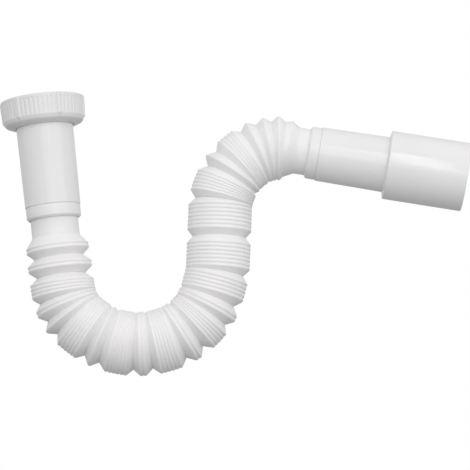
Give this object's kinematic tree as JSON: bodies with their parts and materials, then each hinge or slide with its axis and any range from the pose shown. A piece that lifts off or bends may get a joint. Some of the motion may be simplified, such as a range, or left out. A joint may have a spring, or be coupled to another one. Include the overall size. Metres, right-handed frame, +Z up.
{
  "type": "flexible sink trap",
  "caption": "Flexible sink trap: coupling nut and washer on a straight inlet pipe, a folding corrugated hose laid in an S, and a stepped outlet pipe.",
  "frame": {"origin": "middle of the washer's sealing face, on the inlet axis, where the sink waste meets the trap", "axes": "+X from the inlet towards the outlet, +Y across the trap, +Z up; the trap lies in the plane Y = 0 and its inlet axis leans 6.4 degrees from vertical"},
  "size_m": [0.2778, 0.049, 0.1661],
  "materials": {
    "coupling_nut": "satin white",
    "sealing_washer": "matte black",
    "inlet_pipe": "semi-gloss white",
    "inlet_retaining_ring": "semi-gloss white",
    "corrugated_hose": "soft matte white",
    "outlet_retaining_ring": "semi-gloss white",
    "outlet_pipe": "semi-gloss white"
  },
  "bodies": {
    "nut": {"coupling_nut": "coupling_nut"},
    "washer": {"sealing_washer": "sealing_washer"},
    "inlet": {"inlet_pipe": "inlet_pipe", "inlet_retaining_ring": "inlet_retaining_ring"},
    "hose": {"corrugated_hose": "corrugated_hose"},
    "outlet": {"outlet_retaining_ring": "outlet_retaining_ring", "outlet_pipe": "outlet_pipe"}
  },
  "joints": [
    {"name": "washer_lift", "type": "slide", "parent": "nut", "child": "washer", "axis": [-0.1115, 0, 0.9938], "range_m": [0, 0.03]},
    {"name": "pipe_spin", "type": "hinge", "parent": "nut", "child": "inlet", "pos_m": [0, 0, 0], "axis": [-0.1115, 0, 0.9938], "continuous": true},
    {"name": "hose_stretch", "type": "slide", "parent": "inlet", "child": "hose", "axis": [0.1115, 0, -0.9938], "range_m": [-0.008, 0.015], "deforming": ["corrugated_hose"]},
    {"name": "outlet_bend", "type": "hinge", "parent": "hose", "child": "outlet", "pos_m": [0.132, 0, -0.021], "axis": [0, 1, 0], "range_deg": [-40, 25], "deforming": ["corrugated_hose"]}
  ]
}
